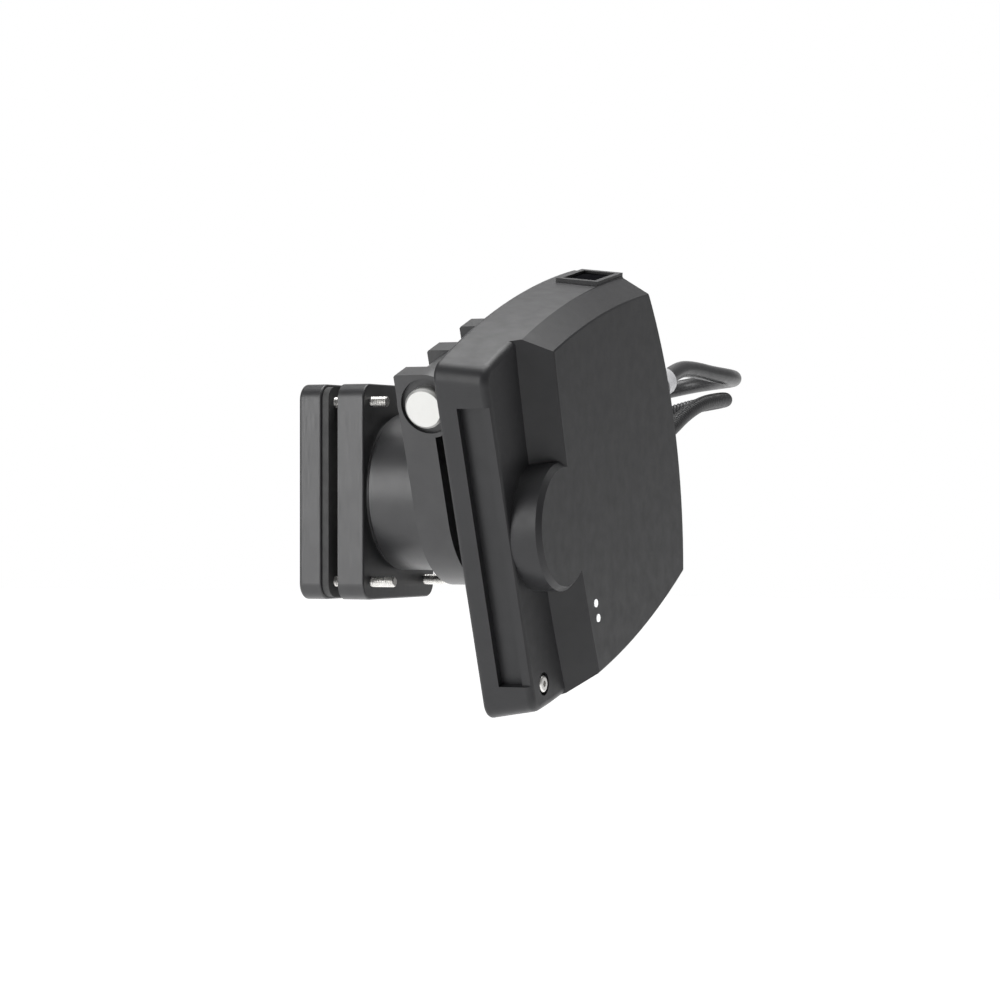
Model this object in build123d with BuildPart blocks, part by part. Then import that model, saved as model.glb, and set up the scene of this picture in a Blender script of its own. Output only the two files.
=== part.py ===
"""Panel-mounted electrical head on a swivel neck, in millimetres.

A two-plate clamp grips a panel. A hollow neck turns in the front clamp plate and
carries a hinge plate with three ears. The head hangs on the hinge pin and tilts
outwards. +X is the neck axis, from the panel to the head, and +Z is up. The origin
is the middle of the face that the panel lies against.

The neck and head are turned about the neck axis by ROLL, so they are drawn on
head_plane(x), whose own axes are WIDTH (w, across the head) and UP (u, up the head).
"""
from build123d import *
import math
import os

# ---- driving dimensions -------------------------------------------------------
ROLL = 19.8                     # degrees the neck is turned about its axis at rest

PLATE_WIDE = 90                 # clamp plates, along Y
PLATE_TALL = 120                # clamp plates, along Z
PLATE_CORNER = 9
FRONT_PLATE_THICK = 16
REAR_PLATE_THICK = 14
PANEL_SPACE = 6.5               # free gap for the panel
GASKET_THICK = 4
CLAMP_SPACING_Y = 68
CLAMP_SPACING_Z = 100
CLAMP_BOLT_R = 3
CLAMP_HEAD_R = 5
CLAMP_HEAD_TALL = 6
UPPER_BOLT_PROUD = 9.5          # how far the bolts stand out of the front plate
LOWER_BOLT_PROUD = 14
CABLE_BORE_R = 27               # clear way for the leads, all along the neck
PANEL_BORE_R = 28               # the same way through the rear plate and gasket

SPIGOT_R = 32
BUSH_R = 35
BUSH_FLANGE_R = 42
BUSH_FLANGE_THICK = 1.5
RUNNING_GAP = 0.05              # radial clearance of a shaft in its bush
MOVING_GAP = 0.3                # clearance between faces that pass each other
RING_R = 38
RING_POCKET_R = 38.6
RING_POCKET_DEEP = 5
RING_THICK = 3
NECK_R = 44
NECK_FRONT = 50.5               # where the neck meets the hinge plate

HINGE_PLATE_THICK = 19.5
HINGE_PLATE_R = 52              # round lower end, and half the plate's width
EAR_THICK = 14.8
EAR_R = 17.9
PIN_X = 68
PIN_U = 67.5
PIN_R = 8
PIN_HEAD_R = 11.3
PIN_HEAD_PROUD = 5
PIN_POCKET_R = 15.5
PIN_POCKET_DEEP = 2.5
KNUCKLE_R = 17.2
KNUCKLE_BUSH_WALL = 2

HEAD_REAR = 97.5                # back face of the head
COVER_SPLIT = 122.4             # where the cover meets the rear shell
PLATEAU = 128                   # the cover's lower face
HEAD_FRONT = 144.8              # the cover's raised face
HEAD_NEAR = -100                # straight near side
HEAD_TOP = 110.1                # crown of each curved side, at the back face
HEAD_BOTTOM = -103.4
BOTTOM_NEAR_RISE = 2            # the near corner at the bottom lies higher than the bow alone
HEAD_FAR = 110
TOP_DRAFT = 0.12                # how much each side comes in per millimetre forward
BOTTOM_DRAFT = 0.174
FAR_DRAFT = 0.12
NEAR_CORNER_R = 10
FAR_CORNER_R = 6
WALL = 4
NEAR_WALL = 10                  # thicker, because the side recess is cut into it
GASKET_WIDE = 1.6               # cover gasket, squeezed in its groove
GASKET_DEEP = 1

RAISED_FOOT = -61.8             # near edge of the raised part, at the plateau
RAISED_EDGE = -50.5             # and at the front face
RAISED_BULGE = 7                # how far that edge bows outwards
CHAMFER_BACK = 130.8            # the long top chamfer, from here to the front face
CHAMFER_FRONT_TOP = 95.9
RAISED_BOTTOM = -89.2
BOSS_W = -63.5
BOSS_U = 2.8
BOSS_R = 34.5
BOSS_CHAMFER = 2.6
FRONT_CHAMFER = 0.6             # along the raised part's other front edges

RECESS_BACK = 109               # long recess in the near side
RECESS_TOP = 81.6
RECESS_BOTTOM = -75.3
RECESS_DEEP = 5
COVER_NOTCH_DEEP = 1.5

WINDOW_X = 118
WINDOW_W = 73
WINDOW_U = 101.5
WINDOW_LONG = 39.6
WINDOW_WIDE = 25
WINDOW_SLOPE_W = -0.16          # fall of the top face across the head
WINDOW_DEEP = 7
WINDOW_LIP = 1.4                # how far the bezel stands proud

CORNER_SCREW_W = -83.5
CORNER_SCREW_U = -79.9
CORNER_SCREW_R = 2
CORNER_HEAD_R = 4.7
CORNER_POCKET_R = 6.3
CORNER_POCKET_DEEP = 2.5
COVER_SCREW_R = 2
LED_SPOTS = [(-39.3, -50.4), (-38.9, -59.2)]
LED_R = 2.2

BOARD_X = 106
BOARD_THICK = 1.6
GLAND_X = 111
POWER_GLAND_U = 7
CONDUIT_GLAND_U = -24
GLAND_FOOT = 98                 # inside face of the glands' threads
GLAND_TIP = 131
BOOT_R = 8
COLLAR_LONG = 13
POWER_CABLE_R = 5
CONDUIT_R = 4.5
NECK_GLAND_X = 60
NECK_POWER_U = 2
NECK_CONDUIT_U = -24
NECK_GLAND_TIP = 80

# Each cable's route, as (x, w, u), from its collar on the head to its gland on the neck.
POWER_ROUTE = [(111, 178, 7), (111, 200, 7), (113, 221, 0), (116.5, 242, -10), (119, 264, -19),
               (114, 285, -27), (98, 300, -33), (77, 305, -37), (57, 297, -39), (44, 278, -38),
               (40, 253, -35), (43, 223, -29), (48, 190, -22), (53, 158, -14), (57, 130, -5),
               (60, 103, 2), (60, 80, 2)]
CONDUIT_ROUTE = [(111, 155, -24), (111, 177, -24), (112, 200, -22), (115, 222, -22), (118, 244, -27),
                 (115, 265, -34), (100, 281, -41), (79, 287, -46), (59, 278, -50), (46, 258, -51),
                 (42, 233, -49), (44, 205, -45), (48, 177, -40), (53, 149, -34), (57, 124, -27),
                 (60, 101, -24), (60, 80, -24)]

# ---- shared directions and helpers --------------------------------------------
FORWARD = Vector(1, 0, 0)
WIDTH = Vector(0, math.cos(math.radians(ROLL)), math.sin(math.radians(ROLL)))
UP = Vector(0, -math.sin(math.radians(ROLL)), math.cos(math.radians(ROLL)))
WIDTH_AXIS = Axis(origin=(0, 0, 0), direction=tuple(WIDTH))
UP_AXIS = Axis(origin=(0, 0, 0), direction=tuple(UP))


def spot(x, w, u):
    """A point given along the neck, across the head and up the head."""
    return FORWARD * x + WIDTH * w + UP * u


def head_plane(x):
    """A plane across the neck axis, drawn in (w, u), facing forward."""
    return Plane(origin=spot(x, 0, 0), x_dir=WIDTH, z_dir=FORWARD)


def side_plane(w):
    """A plane across the hinge pin, drawn in (x, u), facing the near side."""
    return Plane(origin=spot(0, w, 0), x_dir=FORWARD, z_dir=-WIDTH)


def far_plane(x, w, u):
    """A plane centred on a cable fitting, facing the far side."""
    return Plane(origin=spot(x, w, u), x_dir=FORWARD, z_dir=WIDTH)


def plate_plane(x):
    """A plane across the neck axis, drawn in (Y, Z), facing forward."""
    return Plane(origin=(x, 0, 0), x_dir=(0, 1, 0), z_dir=(1, 0, 0))


def save(part, name):
    part.label = name
    export_step(part, f"parts/{name}.step")


def head_size(x, inset=0):
    """The crown of the top, bottom and far side where the head is cut at x."""
    forward = x - HEAD_REAR
    return (HEAD_TOP - TOP_DRAFT * forward - inset,
            HEAD_BOTTOM + BOTTOM_DRAFT * forward + inset,
            HEAD_FAR - FAR_DRAFT * forward - inset)


def shield(top, bottom, near, far, near_corner=NEAR_CORNER_R, far_corner=FAR_CORNER_R):
    """The head's outline: three bowed sides and a straight near side."""
    near_drop = 5.5 * ((near + 5) / (HEAD_NEAR + 5)) ** 2
    near_top = (near, top - near_drop)
    far_top = (far - 15.5, top - 9.6)
    far_bottom = (far - 15.5, bottom + 9.3)
    near_bottom = (near, bottom + near_drop + BOTTOM_NEAR_RISE)
    with BuildSketch() as outline:
        with BuildLine():
            ThreePointArc(near_top, (-5, top), far_top)
            ThreePointArc(far_top, (far, 8), far_bottom)
            ThreePointArc(far_bottom, (-5, bottom), near_bottom)
            Line(near_bottom, near_top)
        make_face()
        corners = outline.vertices().sort_by(Axis.X)
        fillet(corners[:2], near_corner)
        fillet(corners[-2:], far_corner)
    return outline.sketch


def head_cut(x, near=HEAD_NEAR, inset=0):
    top, bottom, far = head_size(x, inset)
    return shield(top, bottom, near, far)


os.makedirs("parts", exist_ok=True)

# ---- clamp, fixed to the panel -------------------------------------------------
gasket_back = -PANEL_SPACE - GASKET_THICK
rear_plate_back = gasket_back - REAR_PLATE_THICK

with BuildPart() as clamp_plate_rear:
    with BuildSketch(plate_plane(rear_plate_back)):
        RectangleRounded(PLATE_WIDE, PLATE_TALL, PLATE_CORNER)
        Circle(PANEL_BORE_R, mode=Mode.SUBTRACT)
    extrude(amount=REAR_PLATE_THICK)
    fillet(clamp_plate_rear.faces().sort_by(Axis.X)[0].outer_wire().edges(), 2)
    fillet(clamp_plate_rear.faces().sort_by(Axis.X)[-1].outer_wire().edges(), 1)
    with BuildSketch(plate_plane(rear_plate_back)):
        with GridLocations(CLAMP_SPACING_Y, CLAMP_SPACING_Z, 2, 2):
            Circle(CLAMP_BOLT_R + 0.3)
    extrude(amount=REAR_PLATE_THICK, mode=Mode.SUBTRACT)
    with BuildSketch(plate_plane(rear_plate_back)):
        with GridLocations(CLAMP_SPACING_Y, CLAMP_SPACING_Z, 2, 2):
            Circle(CLAMP_HEAD_R + 0.5)
    extrude(amount=CLAMP_HEAD_TALL + 1, mode=Mode.SUBTRACT)
save(clamp_plate_rear.part, "clamp_plate_rear")

with BuildPart() as clamp_gasket:
    with BuildSketch(plate_plane(gasket_back)):
        RectangleRounded(PLATE_WIDE - 3, PLATE_TALL - 3, PLATE_CORNER - 1.5)
        Circle(PANEL_BORE_R, mode=Mode.SUBTRACT)
        with GridLocations(CLAMP_SPACING_Y, CLAMP_SPACING_Z, 2, 2):
            Circle(CLAMP_BOLT_R + 0.3, mode=Mode.SUBTRACT)
    extrude(amount=GASKET_THICK)
save(clamp_gasket.part, "clamp_gasket")

with BuildPart() as clamp_plate_front:
    with BuildSketch(plate_plane(0)):
        RectangleRounded(PLATE_WIDE, PLATE_TALL, PLATE_CORNER)
        Circle(BUSH_R, mode=Mode.SUBTRACT)
        with GridLocations(CLAMP_SPACING_Y, CLAMP_SPACING_Z, 2, 2):
            Circle(CLAMP_BOLT_R + RUNNING_GAP, mode=Mode.SUBTRACT)
    extrude(amount=FRONT_PLATE_THICK)
    fillet(clamp_plate_front.faces().sort_by(Axis.X)[-1].outer_wire().edges(), 1)
    with BuildSketch(plate_plane(0)):
        Circle(RING_POCKET_R)
    extrude(amount=RING_POCKET_DEEP, mode=Mode.SUBTRACT)
save(clamp_plate_front.part, "clamp_plate_front")

bolt_seat = rear_plate_back + CLAMP_HEAD_TALL + 1
with BuildPart() as clamp_bolts:
    for side in (-1, 1):
        for height, proud in ((-1, LOWER_BOLT_PROUD), (1, UPPER_BOLT_PROUD)):
            y = side * CLAMP_SPACING_Y / 2
            z = height * CLAMP_SPACING_Z / 2
            with BuildSketch(plate_plane(bolt_seat)):
                with Locations((y, z)):
                    Circle(CLAMP_HEAD_R)
            extrude(amount=-CLAMP_HEAD_TALL)
            with BuildSketch(plate_plane(bolt_seat)):
                with Locations((y, z)):
                    Circle(CLAMP_BOLT_R)
            extrude(amount=FRONT_PLATE_THICK + proud - bolt_seat)
            with BuildSketch(plate_plane(bolt_seat - CLAMP_HEAD_TALL)):
                with Locations((y, z)):
                    RegularPolygon(2.9, 6)
            extrude(amount=3, mode=Mode.SUBTRACT)
    tips = clamp_bolts.faces().filter_by(Axis.X).sort_by(Axis.X)[-4:]
    chamfer(tips.edges(), 0.6)
save(clamp_bolts.part, "clamp_bolts")

bush_front = FRONT_PLATE_THICK + BUSH_FLANGE_THICK
with BuildPart() as swivel_bush:
    with BuildSketch(plate_plane(RING_POCKET_DEEP)):
        Circle(BUSH_R)
    extrude(amount=FRONT_PLATE_THICK - RING_POCKET_DEEP)
    with BuildSketch(plate_plane(FRONT_PLATE_THICK)):
        Circle(BUSH_FLANGE_R)
    extrude(amount=BUSH_FLANGE_THICK)
    with BuildSketch(plate_plane(RING_POCKET_DEEP)):
        Circle(SPIGOT_R + RUNNING_GAP)
    extrude(amount=FRONT_PLATE_THICK, mode=Mode.SUBTRACT)
save(swivel_bush.part, "swivel_bush")

# ---- neck, which turns in the clamp --------------------------------------------
neck_back = bush_front + MOVING_GAP
spigot_back = RING_POCKET_DEEP - MOVING_GAP
RING_SCREW_CIRCLE = 29.5
RING_SCREW_R = 1.5

with BuildPart() as neck_tube:
    with BuildSketch(head_plane(neck_back)):
        Circle(NECK_R)
    extrude(amount=NECK_FRONT - neck_back)
    chamfer(neck_tube.faces().sort_by(Axis.X)[0].edges(), 1)
    with BuildSketch(head_plane(spigot_back)):
        Circle(SPIGOT_R)
    extrude(amount=neck_back - spigot_back)
    with BuildSketch(head_plane(spigot_back)):
        Circle(CABLE_BORE_R)
    extrude(amount=NECK_FRONT - spigot_back, mode=Mode.SUBTRACT)
    with BuildSketch(head_plane(spigot_back)):
        with PolarLocations(RING_SCREW_CIRCLE, 4):
            Circle(RING_SCREW_R)
    extrude(amount=9, mode=Mode.SUBTRACT)
    with BuildSketch(head_plane(NECK_FRONT - 12)):
        with PolarLocations(36, 6, start_angle=30):
            Circle(2)
    extrude(amount=12, mode=Mode.SUBTRACT)
save(neck_tube.part, "neck_tube")

ring_back = spigot_back - RING_THICK
with BuildPart() as swivel_retaining_ring:
    with BuildSketch(head_plane(ring_back)):
        Circle(RING_R)
        Circle(CABLE_BORE_R, mode=Mode.SUBTRACT)
        with PolarLocations(RING_SCREW_CIRCLE, 4):
            Circle(RING_SCREW_R + 0.1, mode=Mode.SUBTRACT)
    extrude(amount=RING_THICK)
    with BuildSketch(head_plane(ring_back)):
        with PolarLocations(RING_SCREW_CIRCLE, 4):
            Circle(2.4)
    extrude(amount=1.4, mode=Mode.SUBTRACT)
save(swivel_retaining_ring.part, "swivel_retaining_ring")

with BuildPart() as retaining_ring_screws:
    with BuildSketch(head_plane(ring_back + 1.4)):
        with PolarLocations(RING_SCREW_CIRCLE, 4):
            Circle(RING_SCREW_R - RUNNING_GAP)
    extrude(amount=8)
    with BuildSketch(head_plane(ring_back + 0.1)):
        with PolarLocations(RING_SCREW_CIRCLE, 4):
            Circle(2.3)
    extrude(amount=1.3)
save(retaining_ring_screws.part, "retaining_ring_screws")

hinge_front = NECK_FRONT + HINGE_PLATE_THICK
ear_starts = [HINGE_PLATE_R, EAR_THICK / 2, EAR_THICK - HINGE_PLATE_R]
knuckle_gap = 0.5
with BuildPart() as hinge_plate:
    with BuildSketch(head_plane(NECK_FRONT)):
        Circle(HINGE_PLATE_R)
        with Locations((0, PIN_U / 2)):
            Rectangle(2 * HINGE_PLATE_R, PIN_U)
        Circle(CABLE_BORE_R, mode=Mode.SUBTRACT)
    extrude(amount=HINGE_PLATE_THICK)
    # The pin's clearance way across the plate's top, which leaves room for the knuckles.
    with BuildSketch(side_plane(HINGE_PLATE_R)):
        with Locations((PIN_X, PIN_U)):
            Circle(EAR_R + 1)
    extrude(amount=2 * HINGE_PLATE_R, mode=Mode.SUBTRACT)
    with BuildSketch(side_plane(HINGE_PLATE_R)):
        with Locations((NECK_FRONT, PIN_U)):
            Rectangle(40, 40, align=(Align.MIN, Align.MIN))
            Rectangle(8, 20, align=(Align.MIN, Align.MAX))
    extrude(amount=2 * HINGE_PLATE_R, mode=Mode.SUBTRACT)
    for start in ear_starts:
        with BuildSketch(side_plane(start)):
            with Locations((PIN_X, PIN_U)):
                Circle(EAR_R)
            with Locations((NECK_FRONT, PIN_U + EAR_R)):
                Rectangle(PIN_X - NECK_FRONT, 2 * EAR_R + 4, align=(Align.MIN, Align.MAX))
            with Locations((PIN_X, PIN_U - EAR_R)):
                Rectangle(hinge_front - PIN_X, 6, align=(Align.MIN, Align.MAX))
        extrude(amount=EAR_THICK)
    ear_tops = hinge_plate.faces().filter_by(Plane(origin=(0, 0, 0), z_dir=UP))
    back_edges = ear_tops.sort_by(UP_AXIS)[-3:].edges().filter_by(WIDTH_AXIS).group_by(Axis.X)[0]
    chamfer(back_edges, 1)
    with BuildSketch(side_plane(HINGE_PLATE_R)):
        with Locations((PIN_X, PIN_U)):
            Circle(PIN_R + RUNNING_GAP)
    extrude(amount=2 * HINGE_PLATE_R, mode=Mode.SUBTRACT)
    with BuildSketch(side_plane(-HINGE_PLATE_R)):
        with Locations((PIN_X, PIN_U)):
            Circle(PIN_POCKET_R)
    extrude(amount=-PIN_POCKET_DEEP, mode=Mode.SUBTRACT)
    with BuildSketch(head_plane(hinge_front)):
        with PolarLocations(36, 6, start_angle=30):
            Circle(4)
    extrude(amount=-4.5, mode=Mode.SUBTRACT)
    with BuildSketch(head_plane(hinge_front)):
        with PolarLocations(36, 6, start_angle=30):
            Circle(2.2)
    extrude(amount=-HINGE_PLATE_THICK, mode=Mode.SUBTRACT)
    for u in (NECK_POWER_U, NECK_CONDUIT_U):
        with BuildSketch(far_plane(NECK_GLAND_X, 20, u)):
            Circle(6.5)
        extrude(amount=HINGE_PLATE_R, mode=Mode.SUBTRACT)
        with BuildSketch(far_plane(NECK_GLAND_X, 43, u)):
            Circle(9)
        extrude(amount=HINGE_PLATE_R, mode=Mode.SUBTRACT)
save(hinge_plate.part, "hinge_plate")

with BuildPart() as hinge_plate_screws:
    with BuildSketch(head_plane(hinge_front - 4.5)):
        with PolarLocations(36, 6, start_angle=30):
            Circle(3.5)
    extrude(amount=4)
    with BuildSketch(head_plane(hinge_front - 4.5)):
        with PolarLocations(36, 6, start_angle=30):
            Circle(1.95)
    extrude(amount=-(HINGE_PLATE_THICK - 4.5 + 10))
    with BuildSketch(head_plane(hinge_front - 0.5)):
        with PolarLocations(36, 6, start_angle=30):
            RegularPolygon(1.7, 6)
    extrude(amount=-2, mode=Mode.SUBTRACT)
save(hinge_plate_screws.part, "hinge_plate_screws")

with BuildPart() as hinge_pin:
    with BuildSketch(side_plane(HINGE_PLATE_R + 4)):
        with Locations((PIN_X, PIN_U)):
            Circle(PIN_R)
    extrude(amount=2 * HINGE_PLATE_R + 4 - PIN_POCKET_DEEP)
    with BuildSketch(side_plane(PIN_POCKET_DEEP - HINGE_PLATE_R)):
        with Locations((PIN_X, PIN_U)):
            Circle(PIN_HEAD_R)
    extrude(amount=PIN_HEAD_PROUD + PIN_POCKET_DEEP)
    near_face = hinge_pin.faces().sort_by(WIDTH_AXIS)[0]
    chamfer(near_face.edges(), 1.2)
save(hinge_pin.part, "hinge_pin")

with BuildPart() as hinge_pin_cap:
    with BuildSketch(side_plane(HINGE_PLATE_R + 6)):
        with Locations((PIN_X, PIN_U)):
            Circle(12)
    extrude(amount=6 - RUNNING_GAP)
    with BuildSketch(side_plane(HINGE_PLATE_R + 4 + RUNNING_GAP)):
        with Locations((PIN_X, PIN_U)):
            Circle(PIN_R + RUNNING_GAP)
    extrude(amount=4, mode=Mode.SUBTRACT)
save(hinge_pin_cap.part, "hinge_pin_cap")

with BuildPart() as neck_cable_glands:
    for u, cable_r in ((NECK_POWER_U, POWER_CABLE_R), (NECK_CONDUIT_U, CONDUIT_R)):
        with BuildSketch(far_plane(NECK_GLAND_X, 43, u)):
            Circle(8.8)
        extrude(amount=NECK_GLAND_TIP - 43 - 8)
        with BuildSketch(far_plane(NECK_GLAND_X, NECK_GLAND_TIP - 22, u)):
            RegularPolygon(11, 6)
        extrude(amount=8)
        with BuildSketch(far_plane(NECK_GLAND_X, NECK_GLAND_TIP - 8, u)):
            Circle(8.8)
        with BuildSketch(far_plane(NECK_GLAND_X, NECK_GLAND_TIP, u)):
            Circle(cable_r + 1)
        loft()
save(neck_cable_glands.part, "neck_cable_glands")

# ---- hinge bracket on the back of the head ---------------------------------------
bracket_back = hinge_front + 1.5
BRACKET_WIDE = 2 * (HINGE_PLATE_R - EAR_THICK) - 2 * knuckle_gap
BRACKET_TOP = PIN_U + 10
BRACKET_BOTTOM = -50
knuckle_wide = (HINGE_PLATE_R - EAR_THICK) - EAR_THICK / 2 - 2 * knuckle_gap
knuckle_starts = [HINGE_PLATE_R - EAR_THICK - knuckle_gap, -EAR_THICK / 2 - knuckle_gap]
BRACKET_FOOT = 88.5             # front of the gap that the ears turn in
BRACKET_SCREWS = [(w, u) for w in (-34, 34) for u in (-38, 34)]

with BuildPart() as hinge_bracket:
    with BuildSketch(head_plane(BRACKET_FOOT)):
        with Locations((0, BRACKET_BOTTOM)):
            Rectangle(2 * HINGE_PLATE_R, BRACKET_TOP - BRACKET_BOTTOM, align=(Align.CENTER, Align.MIN))
    extrude(amount=HEAD_REAR - BRACKET_FOOT)
    with BuildSketch(head_plane(bracket_back)):
        with Locations((0, BRACKET_BOTTOM)):
            Rectangle(BRACKET_WIDE, 84, align=(Align.CENTER, Align.MIN))
        with Locations((0, -4)):
            Rectangle(BRACKET_WIDE - 20, 64, mode=Mode.SUBTRACT)
    extrude(amount=BRACKET_FOOT - bracket_back)
    for start in knuckle_starts:
        with BuildSketch(side_plane(start)):
            with Locations((PIN_X, PIN_U)):
                Circle(KNUCKLE_R)
                Rectangle(BRACKET_FOOT - PIN_X, 20, align=(Align.MIN, Align.CENTER))
        extrude(amount=knuckle_wide)
    with BuildSketch(side_plane(HINGE_PLATE_R)):
        with Locations((PIN_X, PIN_U)):
            Circle(PIN_R + KNUCKLE_BUSH_WALL)
    extrude(amount=2 * HINGE_PLATE_R, mode=Mode.SUBTRACT)
    with BuildSketch(head_plane(HEAD_REAR)):
        with Locations(*BRACKET_SCREWS):
            Circle(2.6)
    extrude(amount=-(HEAD_REAR - BRACKET_FOOT), mode=Mode.SUBTRACT)
    with BuildSketch(head_plane(BRACKET_FOOT + 4)):
        with Locations(*BRACKET_SCREWS):
            Circle(5)
    extrude(amount=-40, mode=Mode.SUBTRACT)
save(hinge_bracket.part, "hinge_bracket")

with BuildPart() as hinge_bracket_screws:
    with BuildSketch(head_plane(BRACKET_FOOT + 4)):
        with Locations(*BRACKET_SCREWS):
            Circle(4.2)
    extrude(amount=-4)
    with BuildSketch(head_plane(BRACKET_FOOT + 4)):
        with Locations(*BRACKET_SCREWS):
            Circle(2.4)
    extrude(amount=HEAD_REAR - BRACKET_FOOT - 4 + WALL - 0.2)
save(hinge_bracket_screws.part, "hinge_bracket_screws")

with BuildPart() as knuckle_bushes:
    for start in knuckle_starts:
        with BuildSketch(side_plane(start)):
            with Locations((PIN_X, PIN_U)):
                Circle(PIN_R + KNUCKLE_BUSH_WALL)
                Circle(PIN_R + RUNNING_GAP, mode=Mode.SUBTRACT)
        extrude(amount=knuckle_wide)
save(knuckle_bushes.part, "knuckle_bushes")

with BuildPart() as rest_bumpers:
    with BuildSketch(head_plane(bracket_back)):
        with Locations((-20, -43), (20, -43)):
            Circle(3.4)
    extrude(amount=-(1.5 - MOVING_GAP))
save(rest_bumpers.part, "rest_bumpers")

# ---- head shell and cover --------------------------------------------------------
SHELL_SCREWS = [(-86, 92), (0, 99), (0, -90.5), (84, 84), (84, -76)]
SHELL_COLUMNS = SHELL_SCREWS + [(CORNER_SCREW_W, CORNER_SCREW_U)]

fall_forward = FORWARD - UP * TOP_DRAFT
fall_across = WIDTH + UP * WINDOW_SLOPE_W
window_plane = Plane(origin=spot(WINDOW_X, WINDOW_W, WINDOW_U), x_dir=fall_forward,
                     z_dir=fall_forward.cross(fall_across))

inner_near = HEAD_NEAR + NEAR_WALL
inner_back = HEAD_REAR + WALL
shell_outside = [head_plane(x) * head_cut(x) for x in (HEAD_REAR, COVER_SPLIT)]
shell_inside = [head_plane(x) * head_cut(x, inner_near, 5) for x in (inner_back, COVER_SPLIT + 1)]

with BuildPart() as rear_shell:
    loft(sections=shell_outside, ruled=True)
    fillet(rear_shell.faces().sort_by(Axis.X)[0].edges(), 2.5)
    loft(sections=shell_inside, ruled=True, mode=Mode.SUBTRACT)
    # Screw columns for the cover, joined to the walls.
    with BuildSketch(head_plane(inner_back - 0.5)):
        with Locations(*SHELL_COLUMNS):
            Circle(5)
    extrude(amount=COVER_SPLIT - inner_back + 0.5)
    with BuildSketch(head_plane(COVER_SPLIT)):
        with Locations((CORNER_SCREW_W, CORNER_SCREW_U)):
            Circle(2)
    extrude(amount=-14, mode=Mode.SUBTRACT)
    with BuildSketch(head_plane(HEAD_REAR)):
        with Locations(*SHELL_SCREWS):
            Circle(2.2)
    extrude(amount=COVER_SPLIT - HEAD_REAR, mode=Mode.SUBTRACT)
    with BuildSketch(head_plane(HEAD_REAR)):
        with Locations(*SHELL_SCREWS):
            Circle(4)
    extrude(amount=5, mode=Mode.SUBTRACT)
    # Long recess in the near side, open at its front edge.
    with BuildSketch(side_plane(HEAD_NEAR - 1)):
        with Locations((RECESS_BACK, RECESS_BOTTOM)):
            Rectangle(40, RECESS_TOP - RECESS_BOTTOM, align=(Align.MIN, Align.MIN))
    extrude(amount=-(RECESS_DEEP + 1), mode=Mode.SUBTRACT)
    with BuildSketch(head_plane(HEAD_REAR)):
        with Locations(*BRACKET_SCREWS):
            Circle(2.5)
    extrude(amount=WALL, mode=Mode.SUBTRACT)
    for u in (POWER_GLAND_U, CONDUIT_GLAND_U):
        with BuildSketch(far_plane(GLAND_X, 90, u)):
            Circle(8)
        extrude(amount=40, mode=Mode.SUBTRACT)
    with BuildSketch(window_plane):
        Rectangle(WINDOW_WIDE, WINDOW_LONG)
    extrude(amount=-WINDOW_DEEP, mode=Mode.SUBTRACT)
    with BuildSketch(window_plane):
        Rectangle(WINDOW_WIDE, WINDOW_LONG)
    extrude(amount=12, mode=Mode.SUBTRACT)
save(rear_shell.part, "rear_shell")

front_top, _, front_far = head_size(HEAD_FRONT)
cover_cuts = [head_plane(COVER_SPLIT) * head_cut(COVER_SPLIT),
              head_plane(PLATEAU) * head_cut(PLATEAU),
              head_plane(HEAD_FRONT) * shield(front_top, RAISED_BOTTOM, HEAD_NEAR, front_far)]
edge_slope = (RAISED_EDGE - RAISED_FOOT) / (HEAD_FRONT - PLATEAU)


def near_of_edge(x):
    """All that lies on the near side of the raised part's sloped, bowed edge."""
    edge = RAISED_FOOT + edge_slope * (x - PLATEAU)
    with BuildSketch() as region:
        with BuildLine():
            ThreePointArc((edge + RAISED_BULGE, -120), (edge - 1.5, 3), (edge + RAISED_BULGE, 125))
            Polyline((edge + RAISED_BULGE, 125), (-130, 125), (-130, -120),
                     (edge + RAISED_BULGE, -120))
        make_face()
    return head_plane(x) * region.sketch


def above_crown(x, crown):
    """All that lies above the top chamfer where it is cut at x."""
    with BuildSketch() as region:
        with BuildLine():
            ThreePointArc((-110, crown - 6.9), (-5, crown), (110, crown - 14.4))
            Polyline((110, crown - 14.4), (110, 130), (-110, 130), (-110, crown - 6.9))
        make_face()
    return head_plane(x) * region.sketch


gasket_outside = shield(104.8, -96.2, HEAD_NEAR + 7, 103.8)
gasket_inside = shield(104.8 - GASKET_WIDE, -96.2 + GASKET_WIDE, HEAD_NEAR + 7 + GASKET_WIDE,
                       103.8 - GASKET_WIDE, NEAR_CORNER_R - GASKET_WIDE, FAR_CORNER_R - GASKET_WIDE)
with BuildPart() as cover_gasket:
    with BuildSketch(head_plane(COVER_SPLIT)):
        add(gasket_outside)
        add(gasket_inside, mode=Mode.SUBTRACT)
    extrude(amount=GASKET_DEEP)
    with BuildSketch(window_plane):
        Rectangle(WINDOW_WIDE, WINDOW_LONG)
    extrude(amount=-WINDOW_DEEP, mode=Mode.SUBTRACT)
gasket_ring = cover_gasket.part
save(gasket_ring, "cover_gasket")

edge_cuts = [near_of_edge(COVER_SPLIT - 1), near_of_edge(HEAD_FRONT + 2)]
crown_cuts = [above_crown(CHAMFER_BACK, head_size(CHAMFER_BACK)[0]),
              above_crown(HEAD_FRONT, CHAMFER_FRONT_TOP)]
cover_hollow = [head_plane(COVER_SPLIT - 1) * shield(101, -93, -54, 100),
                head_plane(HEAD_FRONT - WALL) * shield(91, -84, -43, 97.5)]

with BuildPart() as raised_part:
    loft(sections=cover_cuts, ruled=True)
    loft(sections=edge_cuts, ruled=True, mode=Mode.SUBTRACT)
    loft(sections=crown_cuts, ruled=True, mode=Mode.SUBTRACT)
    raised_front = raised_part.faces().filter_by(Axis.X).sort_by(Axis.X)[-1]
    chamfer(raised_front.outer_wire().edges(), FRONT_CHAMFER)

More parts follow.
